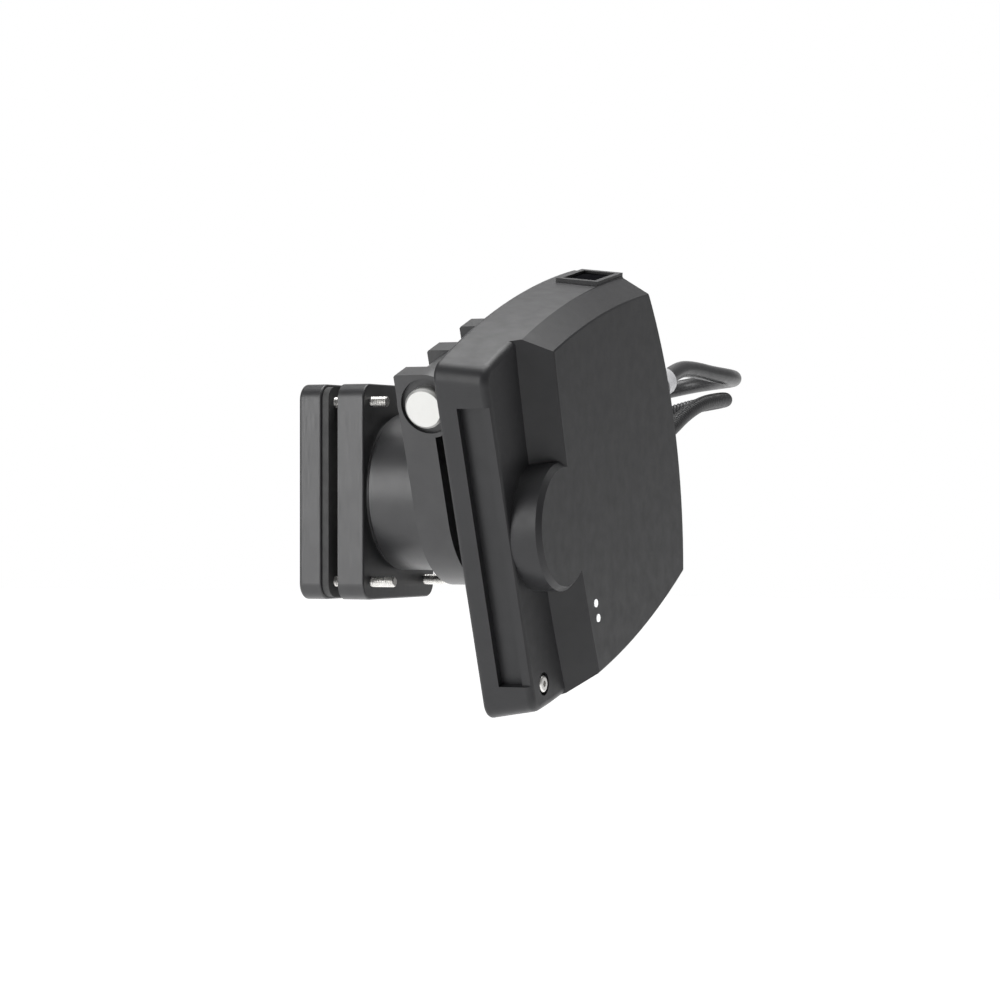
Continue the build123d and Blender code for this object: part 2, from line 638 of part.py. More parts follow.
with BuildPart() as boss:
    with BuildSketch(head_plane(COVER_SPLIT)):
        with Locations((BOSS_W, BOSS_U)):
            Circle(BOSS_R)
    extrude(amount=HEAD_FRONT - COVER_SPLIT)
    chamfer(boss.faces().filter_by(Axis.X).sort_by(Axis.X)[-1].edges(), BOSS_CHAMFER)

with BuildPart() as front_cover:
    loft(sections=cover_cuts[:2], ruled=True)
    fillet(front_cover.faces().sort_by(Axis.X)[-1].edges(), 4)
    add(raised_part.part)
    add(boss.part)
    # Hollow inside, under the raised part and the boss.
    loft(sections=cover_hollow, ruled=True, mode=Mode.SUBTRACT)
    with BuildSketch(head_plane(COVER_SPLIT)):
        with Locations((BOSS_W, BOSS_U)):
            Circle(BOSS_R - WALL)
    extrude(amount=HEAD_FRONT - WALL - COVER_SPLIT, mode=Mode.SUBTRACT)
    with BuildSketch(head_plane(COVER_SPLIT)):
        with Locations(*SHELL_SCREWS[1:]):
            Circle(5)
    extrude(amount=7)
    with BuildSketch(head_plane(COVER_SPLIT)):
        with Locations(*SHELL_SCREWS):
            Circle(COVER_SCREW_R + RUNNING_GAP)
    extrude(amount=4.2, mode=Mode.SUBTRACT)
    # The side recess carries on, shallower, along the cover's rim.
    with BuildSketch(side_plane(HEAD_NEAR - 1)):
        with Locations((COVER_SPLIT, RECESS_BOTTOM)):
            Rectangle(PLATEAU - COVER_SPLIT, RECESS_TOP - RECESS_BOTTOM, align=(Align.MIN, Align.MIN))
    extrude(amount=-(COVER_NOTCH_DEEP + 1), mode=Mode.SUBTRACT)
    with BuildSketch(window_plane):
        Rectangle(WINDOW_WIDE, WINDOW_LONG)
    extrude(amount=-WINDOW_DEEP, mode=Mode.SUBTRACT)
    with BuildSketch(window_plane):
        Rectangle(WINDOW_WIDE, WINDOW_LONG)
    extrude(amount=12, mode=Mode.SUBTRACT)
    with BuildSketch(head_plane(COVER_SPLIT)):
        with Locations((CORNER_SCREW_W, CORNER_SCREW_U)):
            Circle(CORNER_SCREW_R + 0.2)
    extrude(amount=PLATEAU - COVER_SPLIT, mode=Mode.SUBTRACT)
    with BuildSketch(head_plane(PLATEAU)):
        with Locations((CORNER_SCREW_W, CORNER_SCREW_U)):
            Circle(CORNER_POCKET_R)
    extrude(amount=-CORNER_POCKET_DEEP, mode=Mode.SUBTRACT)
    with BuildSketch(head_plane(HEAD_FRONT)):
        with Locations(*LED_SPOTS):
            Circle(LED_R + RUNNING_GAP)
    extrude(amount=-WALL, mode=Mode.SUBTRACT)
    # A shallow tongue groove for the gasket, open towards the shell.
    add(gasket_ring, mode=Mode.SUBTRACT)
save(front_cover.part, "front_cover")

with BuildPart() as cover_screws:
    with BuildSketch(head_plane(HEAD_REAR + 1.5)):
        with Locations(*SHELL_SCREWS):
            Circle(3.5)
    extrude(amount=3.5)
    with BuildSketch(head_plane(HEAD_REAR + 5)):
        with Locations(*SHELL_SCREWS):
            Circle(COVER_SCREW_R)
    extrude(amount=COVER_SPLIT - HEAD_REAR - 5 + 4)
    with BuildSketch(head_plane(HEAD_REAR + 1.5)):
        with Locations(*SHELL_SCREWS):
            RegularPolygon(1.9, 6)
    extrude(amount=1.8, mode=Mode.SUBTRACT)
save(cover_screws.part, "cover_screws")

with BuildPart() as corner_screw:
    with BuildSketch(head_plane(PLATEAU - CORNER_POCKET_DEEP)):
        with Locations((CORNER_SCREW_W, CORNER_SCREW_U)):
            Circle(CORNER_HEAD_R)
    extrude(amount=2.8)
    fillet(corner_screw.faces().sort_by(Axis.X)[-1].edges(), 1.2)
    with BuildSketch(head_plane(PLATEAU - CORNER_POCKET_DEEP)):
        with Locations((CORNER_SCREW_W, CORNER_SCREW_U)):
            Circle(CORNER_SCREW_R - RUNNING_GAP)
    extrude(amount=-15)
    with BuildSketch(head_plane(PLATEAU + 0.3)):
        with Locations((CORNER_SCREW_W, CORNER_SCREW_U)):
            RegularPolygon(1.8, 6)
    extrude(amount=-1.5, mode=Mode.SUBTRACT)
save(corner_screw.part, "corner_screw")

# ---- window in the top face --------------------------------------------------------
with BuildPart() as window_bezel:
    with BuildSketch(window_plane):
        Rectangle(WINDOW_WIDE - 0.2, WINDOW_LONG - 0.2)
        Rectangle(WINDOW_WIDE - 6, WINDOW_LONG - 8, mode=Mode.SUBTRACT)
    extrude(amount=WINDOW_LIP)
    with BuildSketch(window_plane):
        Rectangle(WINDOW_WIDE - 0.2, WINDOW_LONG - 0.2)
        Rectangle(WINDOW_WIDE - 4, WINDOW_LONG - 6, mode=Mode.SUBTRACT)
    extrude(amount=-3)
save(window_bezel.part, "window_bezel")

lens_plane = window_plane.offset(-3)
with BuildPart() as window_lens:
    with BuildSketch(lens_plane):
        Rectangle(WINDOW_WIDE - 4.2, WINDOW_LONG - 6.2)
    extrude(amount=2.6)
save(window_lens.part, "window_lens")

with BuildPart() as window_sensor:
    with BuildSketch(lens_plane):
        Rectangle(WINDOW_WIDE - 6, WINDOW_LONG - 10)
    extrude(amount=-3.6)
save(window_sensor.part, "window_sensor")

# ---- inside the head ----------------------------------------------------------------
STANDOFFS = [(w, u) for w in (-72, 72) for u in (-66, 76)]
with BuildPart() as main_board:
    with BuildSketch(head_plane(BOARD_X)):
        with Locations((0, 5)):
            RectangleRounded(156, 154, 4)
        with Locations(*STANDOFFS):
            Circle(1.7, mode=Mode.SUBTRACT)
    extrude(amount=BOARD_THICK)
save(main_board.part, "main_board")

with BuildPart() as board_standoffs:
    with BuildSketch(head_plane(HEAD_REAR + WALL)):
        with Locations(*STANDOFFS):
            RegularPolygon(3.2, 6)
            Circle(1.3, mode=Mode.SUBTRACT)
    extrude(amount=BOARD_X - HEAD_REAR - WALL)
save(board_standoffs.part, "board_standoffs")

with BuildPart() as board_screws:
    with BuildSketch(head_plane(BOARD_X + BOARD_THICK)):
        with Locations(*STANDOFFS):
            Circle(2.8)
    extrude(amount=2)
    with BuildSketch(head_plane(BOARD_X + BOARD_THICK)):
        with Locations(*STANDOFFS):
            Circle(1.25)
    extrude(amount=-5.5)
save(board_screws.part, "board_screws")

board_top = BOARD_X + BOARD_THICK
with BuildPart() as terminal_block:
    with BuildSketch(head_plane(board_top)):
        with Locations((78 - 14, -16)):
            Rectangle(14, 46)
    extrude(amount=12)
    for step in range(5):
        with BuildSketch(far_plane(board_top + 4, 64, -32 + 8 * step)):
            Circle(2.4)
        extrude(amount=10, mode=Mode.SUBTRACT)
        with BuildSketch(head_plane(board_top + 12)):
            with Locations((62, -32 + 8 * step)):
                Circle(2)
        extrude(amount=-3, mode=Mode.SUBTRACT)
save(terminal_block.part, "terminal_block")

with BuildPart() as power_module:
    with BuildSketch(head_plane(board_top)):
        with Locations((20, -30)):
            RectangleRounded(50, 44, 2)
    extrude(amount=18)
save(power_module.part, "power_module")

with BuildPart() as output_relay:
    with BuildSketch(head_plane(board_top)):
        with Locations((20, 20)):
            RectangleRounded(28, 20, 1)
    extrude(amount=15)
save(output_relay.part, "output_relay")

with BuildPart() as board_capacitors:
    with BuildSketch(head_plane(board_top)):
        with Locations((-18, 52), (0, 52), (18, 52)):
            Circle(6)
    extrude(amount=20)
save(board_capacitors.part, "board_capacitors")

with BuildPart() as ring_choke:
    with BuildSketch(head_plane(board_top)):
        with Locations((BOSS_W, BOSS_U)):
            Circle(24)
            Circle(11, mode=Mode.SUBTRACT)
    extrude(amount=26)
    fillet(ring_choke.edges().filter_by(GeomType.CIRCLE), 5)
save(ring_choke.part, "ring_choke")

with BuildPart() as status_light_pipes:
    with BuildSketch(head_plane(board_top + 3)):
        with Locations(*LED_SPOTS):
            Circle(LED_R)
    extrude(amount=HEAD_FRONT - board_top - 3 + 0.4)
save(status_light_pipes.part, "status_light_pipes")

with BuildPart() as status_leds:
    with BuildSketch(head_plane(board_top)):
        with Locations(*LED_SPOTS):
            Rectangle(3, 3)
    extrude(amount=2)
save(status_leds.part, "status_leds")

# ---- cable fittings and cables --------------------------------------------------------
with BuildPart() as head_cable_glands:
    for u in (POWER_GLAND_U, CONDUIT_GLAND_U):
        with BuildSketch(far_plane(GLAND_X, GLAND_FOOT, u)):
            Circle(7.8)
        extrude(amount=GLAND_TIP - GLAND_FOOT)
        with BuildSketch(far_plane(GLAND_X, 112, u)):
            RegularPolygon(11, 6)
        extrude(amount=8)
        with BuildSketch(far_plane(GLAND_X, 121.5, u)):
            RegularPolygon(11, 6)
        extrude(amount=7)
save(head_cable_glands.part, "head_cable_glands")

CABLES = [("power", POWER_ROUTE, POWER_GLAND_U, POWER_CABLE_R),
          ("conduit", CONDUIT_ROUTE, CONDUIT_GLAND_U, CONDUIT_R)]

for name, route, u, cable_r in CABLES:
    boot_tip = route[0][1] - COLLAR_LONG
    with BuildPart() as boot:
        with BuildSketch(far_plane(GLAND_X, GLAND_TIP, u)):
            Circle(BOOT_R)
        with BuildSketch(far_plane(GLAND_X, boot_tip, u)):
            Circle(cable_r + 1.2)
        loft()
    save(boot.part, f"{name}_boot")
    with BuildPart() as collar:
        with BuildSketch(far_plane(GLAND_X, boot_tip, u)):
            Circle(BOOT_R + 0.5)
        extrude(amount=COLLAR_LONG)
        fillet(collar.faces().sort_by(WIDTH_AXIS)[-1].edges(), 2)
    save(collar.part, f"{name}_collar")
    points = [spot(*point) for point in route]
    runs = [(b - a).length for a, b in zip(points, points[1:])]
    turns = [(b - a).get_angle(c - b) for a, b, c in zip(points, points[1:], points[2:])]
    radii = [0.45 * min(before, after) / math.tan(math.radians(turn) / 2)
             for before, after, turn in zip(runs, runs[1:], turns)]
    with BuildPart() as cable:
        with BuildLine() as path:
            FilletPolyline(*points, radius=radii)
        with BuildSketch(Plane(origin=points[0], z_dir=points[1] - points[0])):
            Circle(cable_r)
        sweep(path=path.wire())
    path_length = path.wire().length
    share = cable.part.volume / (math.pi * cable_r ** 2 * path_length)
    print(f"{name}_cable: length {path_length:.0f}, volume over section times length {share:.4f}")
    print(f"{name}_cable: radii", [round(radius) for radius in radii])
    save(cable.part, f"{name}_cable")
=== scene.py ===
"""Looks for the electrical head on its swivel neck and panel clamp.

Everything is in metres in the CAD frame. The CAD nodes keep their places and get procedural
materials. The bolts, cable boots and the two cables are replaced by detailed meshes.
"""

import math

import bpy
import numpy as np
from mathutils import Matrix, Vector


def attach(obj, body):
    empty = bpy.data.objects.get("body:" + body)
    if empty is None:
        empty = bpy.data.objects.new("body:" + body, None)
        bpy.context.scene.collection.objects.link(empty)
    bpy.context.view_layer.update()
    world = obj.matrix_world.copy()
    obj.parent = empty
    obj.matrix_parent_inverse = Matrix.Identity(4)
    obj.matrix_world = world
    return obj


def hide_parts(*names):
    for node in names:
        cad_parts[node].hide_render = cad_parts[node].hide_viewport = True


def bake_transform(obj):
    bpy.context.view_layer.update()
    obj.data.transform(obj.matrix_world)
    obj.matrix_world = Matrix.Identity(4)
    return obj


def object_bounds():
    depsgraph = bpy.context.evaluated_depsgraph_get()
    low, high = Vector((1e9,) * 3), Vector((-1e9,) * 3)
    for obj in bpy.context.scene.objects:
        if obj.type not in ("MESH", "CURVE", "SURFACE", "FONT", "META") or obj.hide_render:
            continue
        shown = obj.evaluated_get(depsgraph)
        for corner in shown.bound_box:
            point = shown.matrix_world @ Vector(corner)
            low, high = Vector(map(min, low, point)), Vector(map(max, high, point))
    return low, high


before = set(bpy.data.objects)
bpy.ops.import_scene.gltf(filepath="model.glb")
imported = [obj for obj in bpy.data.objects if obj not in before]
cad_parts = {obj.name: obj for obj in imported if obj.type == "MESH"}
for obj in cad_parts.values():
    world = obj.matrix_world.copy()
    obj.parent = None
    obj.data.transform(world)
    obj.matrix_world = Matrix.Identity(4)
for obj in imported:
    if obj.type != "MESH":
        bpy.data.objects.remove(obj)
cad_low, cad_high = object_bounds()

MM = 0.001
ROLL = math.radians(19.8)       # the neck and head are turned this far about the neck's axis
WIDTH = Vector((0, math.cos(ROLL), math.sin(ROLL)))
UP = Vector((0, -math.sin(ROLL), math.cos(ROLL)))
FORWARD = Vector((1, 0, 0))


def spot(x, w, u):
    """A point along the neck, across the head and up the head, given in millimetres."""
    return (FORWARD * x + WIDTH * w + UP * u) * MM


def in_metres(radius):
    """A radius in millimetres, or a function that gives one, turned into metres."""
    if callable(radius):
        return lambda angles: radius(angles) * MM
    return radius * MM


# ---- camera --------------------------------------------------------------------
CAMERA_AZIMUTH = math.radians(24.52)
CAMERA_DISTANCE = 1.9438
CAMERA_LENS = 123.9
CAMERA_AIM = Vector((0.0677, 0.0236, -0.0046))


def add_camera():
    data = bpy.data.cameras.new("camera")
    data.lens = CAMERA_LENS
    data.sensor_width = 36
    camera = bpy.data.objects.new("camera", data)
    towards = Vector((math.sin(CAMERA_AZIMUTH), -math.cos(CAMERA_AZIMUTH), 0))
    camera.location = CAMERA_AIM + towards * CAMERA_DISTANCE
    camera.rotation_euler = (math.pi / 2, 0, CAMERA_AZIMUTH)
    bpy.context.scene.collection.objects.link(camera)
    bpy.context.scene.camera = camera


# ---- meshes ----------------------------------------------------------------------
def mesh_object(name, vertices, faces, material):
    mesh = bpy.data.meshes.new(name)
    mesh.from_pydata([tuple(v) for v in vertices], [], faces)
    mesh.validate()
    mesh.update()
    mesh.shade_smooth()
    mesh.set_sharp_from_angle(angle=math.radians(35))
    mesh.materials.append(material)
    made = bpy.data.objects.new(name, mesh)
    bpy.context.scene.collection.objects.link(made)
    return made


def skin(rings):
    """Vertices and faces of a closed skin over rings of equally many points, capped at both ends."""
    rings = np.asarray(rings, float)
    count, around = rings.shape[:2]
    vertices = rings.reshape(-1, 3).tolist()
    faces = [(r * around + i, r * around + (i + 1) % around,
              (r + 1) * around + (i + 1) % around, (r + 1) * around + i)
             for r in range(count - 1) for i in range(around)]
    for ring, turn in ((0, -1), (count - 1, 1)):
        vertices.append(rings[ring].mean(axis=0).tolist())
        middle, start = len(vertices) - 1, ring * around
        for i in range(around):
            edge = (start + i, start + (i + 1) % around)
            faces.append((edge[0], edge[1], middle) if turn > 0 else (edge[1], edge[0], middle))
    return vertices, faces


def turned_rings(rows, centre, axis, around):
    """Rings about an axis. Each row is (distance along it, radius or a function of the angle)."""
    axis = Vector(axis).normalized()
    side = axis.orthogonal().normalized()
    across = axis.cross(side)
    angles = np.linspace(0, 2 * math.pi, around, endpoint=False)
    circle = np.outer(np.cos(angles), side) + np.outer(np.sin(angles), across)
    rings = []
    for along, radius in rows:
        size = radius(angles) if callable(radius) else np.full(around, radius)
        rings.append(np.array(centre + axis * along) + circle * size[:, None])
    return rings


def join_skins(skins):
    vertices, faces = [], []
    for more_vertices, more_faces in skins:
        start = len(vertices)
        vertices += more_vertices
        faces += [tuple(i + start for i in face) for face in more_faces]
    return vertices, faces


# ---- clamp bolts with a real thread -------------------------------------------------
BOLT_SEAT = -17.5               # underside of the bolts' heads
BOLT_ENDS = {1: 25.5, -1: 30.0}  # upper and lower
BOLT_Y = 34                     # the bolts stand this far from the clamp's middle
BOLT_Z = 50
BOLT_HEAD_R = 5
BOLT_HEAD_TALL = 6
SOCKET_FLAT = 2.5
SOCKET_DEEP = 3
THREAD_PITCH = 1.1
THREAD_DEEP = 0.42
THREAD_STEPS = 8                # rings for each turn of the thread
END_CHAMFER = 0.7
BOLT_R = 3.0


def hexagon(flat):
    """Radius of a hexagon, whose flats are this far from its middle, at each angle."""
    sixth = math.pi / 3
    return lambda angles: flat / np.cos((angles + sixth / 2) % sixth - sixth / 2)


def thread(along, limit):
    """Radius of a helical thread at each angle, kept below limit."""
    def radius(angles):
        phase = (along / THREAD_PITCH - angles / (2 * math.pi)) % 1
        ridge = np.abs(2 * phase - 1)
        return np.minimum(BOLT_R - THREAD_DEEP * ridge, limit)
    return radius


def bolt_skin(y, z, end):
    """A socket-head bolt, from the bottom of its socket round its head and along its thread."""
    socket = hexagon(SOCKET_FLAT)
    bottom = SOCKET_DEEP - BOLT_HEAD_TALL
    rows = [(bottom, 0.05), (bottom, socket), (-BOLT_HEAD_TALL, socket),
            (-BOLT_HEAD_TALL, BOLT_HEAD_R - 0.5), (0.5 - BOLT_HEAD_TALL, BOLT_HEAD_R),
            (-0.2, BOLT_HEAD_R), (0, BOLT_HEAD_R - 0.2), (0, BOLT_R)]
    length = end - BOLT_SEAT
    steps = int(length / THREAD_PITCH * THREAD_STEPS)
    for step in range(1, steps + 1):
        along = length * step / steps
        rows.append((along, thread(along, BOLT_R - max(0, along - length + END_CHAMFER))))
    rows = [(along * MM, in_metres(radius)) for along, radius in rows]
    return skin(turned_rings(rows, Vector((BOLT_SEAT, y, z)) * MM, FORWARD, 32))


def add_bolts(material):
    skins = [bolt_skin(BOLT_Y * side, BOLT_Z * height, BOLT_ENDS[height])
             for side in (-1, 1) for height in (-1, 1)]
    bolts = mesh_object("threaded_clamp_bolts", *join_skins(skins), material)
    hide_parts("clamp_bolts")
    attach(bolts, "mount")


# ---- cable boots --------------------------------------------------------------------
FITTING_X = 111                 # both cable fittings on the head
GLAND_TIP = 131
POWER_U = 7
CONDUIT_U = -24
BOOT_R = 8
BOOT_END_WALL = 1.2             # rubber left round the cable at the thin end
RIB_PITCH = 3.2
GROOVE_DEEP = 0.75


def add_boot(name, node, u, length, cable_r, material):
    """A tapered strain relief with ribs, from its gland to its collar."""
    rows = [(0, BOOT_R - 0.4), (0.6, BOOT_R)]
    taper = BOOT_R - BOOT_END_WALL - cable_r
    ribs = int(length / RIB_PITCH)
    for rib in range(ribs):
        for part, lower in ((0.15, 0), (0.3, GROOVE_DEEP), (0.7, GROOVE_DEEP), (0.85, 0)):
            share = (rib + part) / ribs
            rows.append((0.6 + share * (length - 1.2), BOOT_R - share * taper - lower))
    rows.append((length - 0.1, cable_r + BOOT_END_WALL))
    rows = [(along * MM, radius * MM) for along, radius in rows]
    rings = turned_rings(rows, spot(FITTING_X, GLAND_TIP, u), WIDTH, 48)
    boot = mesh_object(name, *skin(rings), material)
    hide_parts(node)
    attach(boot, "head")


# ---- cables -------------------------------------------------------------------------
POWER_ROUTE = [(111, 178, 7), (111, 200, 7), (113, 221, 0), (116.5, 242, -10), (119, 264, -19),
               (114, 285, -27), (98, 300, -33), (77, 305, -37), (57, 297, -39), (44, 278, -38),
               (40, 253, -35), (43, 223, -29), (48, 190, -22), (53, 158, -14), (57, 130, -5),
               (60, 103, 2), (60, 80, 2)]
CONDUIT_ROUTE = [(111, 155, -24), (111, 177, -24), (112, 200, -22), (115, 222, -22), (118, 244, -27),
                 (115, 265, -34), (100, 281, -41), (79, 287, -46), (59, 278, -50), (46, 258, -51),
                 (42, 233, -49), (44, 205, -45), (48, 177, -40), (53, 149, -34), (57, 124, -27),
                 (60, 101, -24), (60, 80, -24)]
RIDGE_PITCH = 2.3 * MM
RIDGE_DEEP = 0.55 * MM


def smooth_line(route):
    """Points along the NURBS curve that a route controls."""
    data = bpy.data.curves.new("route", "CURVE")
    data.dimensions = "3D"
    spline = data.splines.new("NURBS")
    spline.points.add(len(route) - 1)
    for point, place in zip(spline.points, route):
        point.co = (*spot(*place), 1)
    spline.order_u = 3
    spline.use_endpoint_u = True
    spline.resolution_u = 24
    carrier = bpy.data.objects.new("route", data)
    bpy.context.scene.collection.objects.link(carrier)
    bpy.context.view_layer.update()
    mesh = bpy.data.meshes.new_from_object(carrier)
    line = np.array([v.co for v in mesh.vertices], float)
    bpy.data.objects.remove(carrier)
    bpy.data.meshes.remove(mesh)
    return line


def even_line(line, spacing):
    """The same line with evenly spaced points, and how far along each one is."""
    steps = np.linalg.norm(np.diff(line, axis=0), axis=1)
    line = line[np.concatenate(([True], steps > 1e-9))]
    along = np.concatenate(([0], np.cumsum(np.linalg.norm(np.diff(line, axis=0), axis=1))))
    wanted = np.linspace(0, along[-1], int(along[-1] / spacing) + 1)
    return np.stack([np.interp(wanted, along, line[:, i]) for i in range(3)], axis=1), wanted


def tube_rings(line, radii, around):
    """Rings along a line, carried from one to the next without twist."""
    tangents = np.gradient(line, axis=0)
    tangents /= np.linalg.norm(tangents, axis=1)[:, None]
    side = np.array(Vector(tangents[0]).orthogonal().normalized())
    angles = np.linspace(0, 2 * math.pi, around, endpoint=False)
    rings = []
    for point, tangent, radius in zip(line, tangents, radii):
        side = side - tangent * side.dot(tangent)
        side /= np.linalg.norm(side)
        across = np.cross(tangent, side)
        circle = np.outer(np.cos(angles), side) + np.outer(np.sin(angles), across)
        rings.append(point + circle * radius)
    return rings


def add_cable(name, node, route, diameter, material, ridged):
    line = smooth_line(route)
    even, along = even_line(line, RIDGE_PITCH / 8 if ridged else 1.2 * MM)
    radii = np.full(len(even), diameter / 2)
    if ridged:
        wave = 0.5 - 0.5 * np.cos(2 * math.pi * along / RIDGE_PITCH)
        radii = radii - RIDGE_DEEP * wave ** 2
    cable = mesh_object(name, *skin(tube_rings(even, radii, 28)), material)
    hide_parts(node)
    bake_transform(cable)


# ---- materials ------------------------------------------------------------------------
PIN_NEAR_END = spot(68, -54.5, 67.5)


class Shader:
    """A material with a Principled shader, and short ways to add detail to it."""

    def __init__(self, name, colour, roughness, metallic=0.0, specular=0.5, coat=0.0, coat_roughness=0.1):
        self.material = bpy.data.materials.new(name)
        self.material.use_nodes = True
        self.nodes = self.material.node_tree.nodes
        self.links = self.material.node_tree.links
        self.shader = self.nodes["Principled BSDF"]
        self.colour = (*colour, 1)
        self.roughness = roughness
        settings = {"Base Color": self.colour, "Roughness": roughness, "Metallic": metallic,
                    "Specular IOR Level": specular, "Coat Weight": coat, "Coat Roughness": coat_roughness}
        for socket, value in settings.items():
            self.shader.inputs[socket].default_value = value
        self.normal = None

    def noise(self, size, stretch=(1, 1, 1), turn=0.0, detail=3.0):
        """Noise whose features are about size metres, drawn out along an axis by stretch."""
        place = self.nodes.new("ShaderNodeTexCoord")
        mapping = self.nodes.new("ShaderNodeMapping")
        mapping.inputs["Rotation"].default_value = (-turn, 0, 0)
        mapping.inputs["Scale"].default_value = tuple(1 / s for s in stretch)
        texture = self.nodes.new("ShaderNodeTexNoise")
        texture.inputs["Scale"].default_value = 1 / size
        texture.inputs["Detail"].default_value = detail
        self.links.new(place.outputs["Object"], mapping.inputs["Vector"])
        self.links.new(mapping.outputs["Vector"], texture.inputs["Vector"])
        return texture.outputs["Fac"]

    def spread(self, value, low, high):
        """The middle of a noise, mapped to low..high."""
        node = self.nodes.new("ShaderNodeMapRange")
        node.inputs["From Min"].default_value = 0.3
        node.inputs["From Max"].default_value = 0.7
        node.inputs["To Min"].default_value = low
        node.inputs["To Max"].default_value = high
        self.links.new(value, node.inputs["Value"])
        return node.outputs["Result"]

    def vary_roughness(self, value, amount):
        result = self.spread(value, self.roughness - amount, self.roughness + amount)
        self.links.new(result, self.shader.inputs["Roughness"])

    def vary_colour(self, value, other):
        mix = self.nodes.new("ShaderNodeMix")
        mix.data_type = "RGBA"
        mix.inputs["A"].default_value = self.colour
        mix.inputs["B"].default_value = (*other, 1)
        self.links.new(self.spread(value, 0, 1), mix.inputs["Factor"])
        self.links.new(mix.outputs["Result"], self.shader.inputs["Base Color"])

    def bump(self, value, height, strength=1.0):
        node = self.nodes.new("ShaderNodeBump")
        node.inputs["Distance"].default_value = height
        node.inputs["Strength"].default_value = strength
        self.links.new(value, node.inputs["Height"])
        if self.normal:
            self.links.new(self.normal, node.inputs["Normal"])
        self.normal = node.outputs["Normal"]
        self.links.new(self.normal, self.shader.inputs["Normal"])


def machined_black(name, stretch, turn):
    """Black satin metal with fine tool marks drawn out along one axis."""
    made = Shader(name, (0.011, 0.011, 0.012), 0.40, specular=0.42)
    marks = made.noise(0.25 * MM, stretch, turn)
    made.vary_roughness(marks, 0.07)
    made.vary_colour(made.noise(14 * MM, turn=turn), (0.017, 0.017, 0.018))
    made.bump(marks, 0.012 * MM)
    made.bump(made.noise(0.35 * MM, detail=2), 0.008 * MM)
    return made.material


def coated_black(name):
    """The head's black coat: a very fine grain over slight waves."""
    made = Shader(name, (0.010, 0.010, 0.011), 0.44, specular=0.27)
    made.vary_roughness(made.noise(9 * MM, detail=5), 0.05)
    made.vary_colour(made.noise(22 * MM, detail=4), (0.0118, 0.0118, 0.0128))
    made.bump(made.noise(0.45 * MM, detail=2), 0.016 * MM)
    made.bump(made.noise(7 * MM), 0.03 * MM, 0.5)
    return made.material


def turned_steel(name, colour, roughness, size):
    """Bare steel with fine marks of the given size."""
    made = Shader(name, colour, roughness, metallic=1.0)
    marks = made.noise(size, (1, 6, 6))
    made.vary_roughness(marks, 0.08)
    made.vary_colour(made.noise(3 * MM), tuple(c * 0.82 for c in colour))
    made.bump(marks, 0.01 * MM)
    return made.material


def pin_steel():
    """Bright turned steel, with faint rings about the middle of the hinge pin's near end."""
    made = Shader("pin_steel", (0.40, 0.40, 0.39), 0.48, metallic=1.0)
    place = made.nodes.new("ShaderNodeTexCoord")
    shift = made.nodes.new("ShaderNodeVectorMath")
    shift.operation = "SUBTRACT"
    shift.inputs[1].default_value = PIN_NEAR_END
    rings = made.nodes.new("ShaderNodeTexWave")
    rings.wave_type = "RINGS"
    rings.rings_direction = "SPHERICAL"
    rings.inputs["Scale"].default_value = 900
    rings.inputs["Distortion"].default_value = 0.6
    made.links.new(place.outputs["Object"], shift.inputs[0])
    made.links.new(shift.outputs["Vector"], rings.inputs["Vector"])
    made.vary_roughness(rings.outputs["Fac"], 0.05)
    made.bump(rings.outputs["Fac"], 0.004 * MM)
    return made.material


def plain(name, colour, roughness, size=0.6 * MM, other=None, specular=0.5, coat=0.0, height=0.02 * MM):
    """Moulded or rubber surface: fine grain, and a slow change of colour and gloss."""
    made = Shader(name, colour, roughness, specular=specular, coat=coat)
    made.vary_roughness(made.noise(5 * MM), 0.06)
    made.vary_colour(made.noise(8 * MM), other or tuple(c * 1.35 for c in colour))
    made.bump(made.noise(size), height)
    return made.material


def lamp_lens():
    """A clear lens that glows faintly."""
    made = Shader("clear_lens", (0.86, 0.88, 0.90), 0.18, coat=1.0)
    made.shader.inputs["Emission Color"].default_value = (1, 1, 1, 1)
    made.shader.inputs["Emission Strength"].default_value = 0.35
    made.vary_roughness(made.noise(1 * MM), 0.05)
    return made.material


def dark_window():
    """Dark tinted pane that throws back almost nothing."""
    made = Shader("dark_window", (0.004, 0.004, 0.005), 0.16, specular=0.0)
    made.vary_colour(made.noise(4 * MM), (0.006, 0.006, 0.007))
    made.vary_roughness(made.noise(6 * MM), 0.03)
    return made.material


